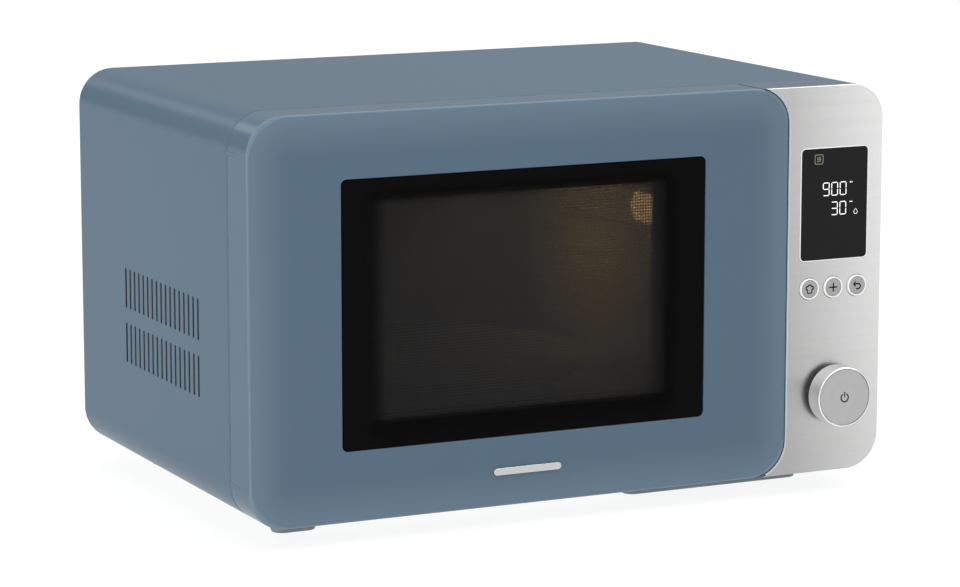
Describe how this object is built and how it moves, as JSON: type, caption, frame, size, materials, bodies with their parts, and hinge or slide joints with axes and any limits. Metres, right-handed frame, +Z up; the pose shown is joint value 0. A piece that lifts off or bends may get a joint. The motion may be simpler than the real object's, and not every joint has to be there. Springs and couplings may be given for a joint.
{
  "type": "microwave oven",
  "caption": "Countertop microwave oven with rounded casing, side-hinged glass door, brushed control panel, push-turn knob, buttons and glass turntable on rollers.",
  "frame": {"origin": "under the middle of the whole oven, on the surface that its feet stand on", "axes": "+X to the right seen from the front, +Y to the back, +Z up; the door faces -Y"},
  "size_m": [0.49, 0.372, 0.295],
  "materials": {
    "painted_steel": "satin blue-grey paint",
    "painted_moulding": "satin blue-grey lacquer",
    "zinc_steel": "bright zinc-coated sheet",
    "grey_enamel": "smooth pale grey enamel",
    "dark_steel": "black satin",
    "bright_steel": "polished",
    "brushed_panel": "brushed",
    "button_metal": "satin",
    "knob_metal": "turned, with a bright chamfer",
    "black_glass": "printed black, polished",
    "clear_glass": "clear",
    "black_plastic": "moulded, matt",
    "white_plastic": "moulded, matt",
    "foot_rubber": "matt",
    "circuit_board": "green solder mask",
    "copper_wire": "enamelled copper wire",
    "mica": "pressed mica sheet"
  },
  "bodies": {
    "cabinet": {"outer_casing": "painted_steel", "base_pan": "zinc_steel", "rear_panel": "painted_steel", "rear_spacer": "black_plastic", "cord_gland": "black_plastic", "front_left_foot": "foot_rubber", "front_right_foot": "foot_rubber", "rear_left_foot": "foot_rubber", "rear_right_foot": "foot_rubber", "cavity_liner": "grey_enamel", "front_frame": "grey_enamel", "lower_hinge_bracket": "dark_steel", "upper_hinge_bracket": "dark_steel", "turntable_motor": "zinc_steel", "interlock_bracket": "white_plastic", "primary_switch": "black_plastic", "secondary_switch": "black_plastic", "monitor_switch": "black_plastic", "control_housing": "painted_moulding", "control_fascia": "brushed_panel", "display_lens": "black_glass", "display_module": "black_plastic", "control_board": "circuit_board", "encoder_body": "zinc_steel", "knob_collar": "black_plastic", "waveguide": "zinc_steel", "waveguide_cover": "mica", "magnetron": "zinc_steel", "transformer_core": "dark_steel", "transformer_winding": "copper_wire", "capacitor": "zinc_steel", "diode": "black_plastic", "fan_shroud": "black_plastic", "fan_motor": "dark_steel", "lamp_bulb": "clear_glass", "lamp_holder": "white_plastic", "filter_board": "circuit_board"},
    "door": {"door_shell": "painted_moulding", "door_glass": "black_glass", "door_screen": "dark_steel", "door_inner_pane": "clear_glass", "door_inner_cover": "black_plastic", "door_badge": "bright_steel", "lower_hinge_pin": "bright_steel", "upper_hinge_pin": "bright_steel"},
    "latch": {"latch_hooks": "white_plastic", "latch_spring": "bright_steel"},
    "turntable": {"turntable_hub": "white_plastic", "glass_tray": "clear_glass"},
    "roller_support": {"roller_ring": "white_plastic"},
    "rear_roller": {"roller_wheel_rear": "white_plastic"},
    "left_roller": {"roller_wheel_left": "white_plastic"},
    "right_roller": {"roller_wheel_right": "white_plastic"},
    "fan": {"fan_impeller": "black_plastic"},
    "plunger": {"encoder_plunger": "white_plastic"},
    "knob": {"knob_body": "knob_metal", "knob_face": "brushed_panel"},
    "menu_key": {"menu_button": "button_metal"},
    "plus_key": {"plus_button": "button_metal"},
    "back_key": {"back_button": "button_metal"}
  },
  "joints": [
    {"name": "door_hinge", "type": "hinge", "parent": "cabinet", "child": "door", "pos_m": [-0.24, -0.1385, 0.155], "axis": [0, 0, -1], "range_deg": [0, 105]},
    {"name": "latch_slide", "type": "slide", "parent": "door", "child": "latch", "axis": [0, 0, 1], "range_m": [0, 0.004], "stiffness_N_per_m": 150, "springref_m": -0.006, "deforming": ["latch_spring"]},
    {"name": "turntable_spin", "type": "hinge", "parent": "cabinet", "child": "turntable", "pos_m": [-0.039, 0.00185, 0.075], "axis": [0, 0, 1], "continuous": true},
    {"name": "roller_ring_spin", "type": "hinge", "parent": "cabinet", "child": "roller_support", "pos_m": [-0.039, 0.00185, 0.0727], "axis": [0, 0, 1], "continuous": true},
    {"name": "rear_roller_spin", "type": "hinge", "parent": "roller_support", "child": "rear_roller", "pos_m": [-0.039, 0.09685, 0.0727], "axis": [0, 1, 0], "continuous": true},
    {"name": "left_roller_spin", "type": "hinge", "parent": "roller_support", "child": "left_roller", "pos_m": [-0.12127, -0.04565, 0.0727], "axis": [-0.866, -0.5, 0], "continuous": true},
    {"name": "right_roller_spin", "type": "hinge", "parent": "roller_support", "child": "right_roller", "pos_m": [0.04327, -0.04565, 0.0727], "axis": [0.866, -0.5, 0], "continuous": true},
    {"name": "fan_spin", "type": "hinge", "parent": "cabinet", "child": "fan", "pos_m": [0.184, 0.149, 0.209], "axis": [0, 1, 0], "continuous": true},
    {"name": "knob_push", "type": "slide", "parent": "cabinet", "child": "plunger", "axis": [0, 1, 0], "range_m": [0, 0.0015], "stiffness_N_per_m": 800, "springref_m": -0.002},
    {"name": "knob_turn", "type": "hinge", "parent": "plunger", "child": "knob", "pos_m": [0.205, -0.178, 0.0725], "axis": [0, -1, 0], "continuous": true},
    {"name": "menu_press", "type": "slide", "parent": "cabinet", "child": "menu_key", "axis": [0, 1, 0], "range_m": [0, 0.0008], "stiffness_N_per_m": 700, "springref_m": -0.0015},
    {"name": "plus_press", "type": "slide", "parent": "cabinet", "child": "plus_key", "axis": [0, 1, 0], "range_m": [0, 0.0008], "stiffness_N_per_m": 700, "springref_m": -0.0015},
    {"name": "back_press", "type": "slide", "parent": "cabinet", "child": "back_key", "axis": [0, 1, 0], "range_m": [0, 0.0008], "stiffness_N_per_m": 700, "springref_m": -0.0015}
  ],
  "couplings": [
    {"joint": "roller_ring_spin", "follows": "turntable_spin", "ratio": 0.5},
    {"joint": "rear_roller_spin", "follows": "turntable_spin", "ratio": -6.5972},
    {"joint": "left_roller_spin", "follows": "turntable_spin", "ratio": -6.5972},
    {"joint": "right_roller_spin", "follows": "turntable_spin", "ratio": -6.5972}
  ]
}
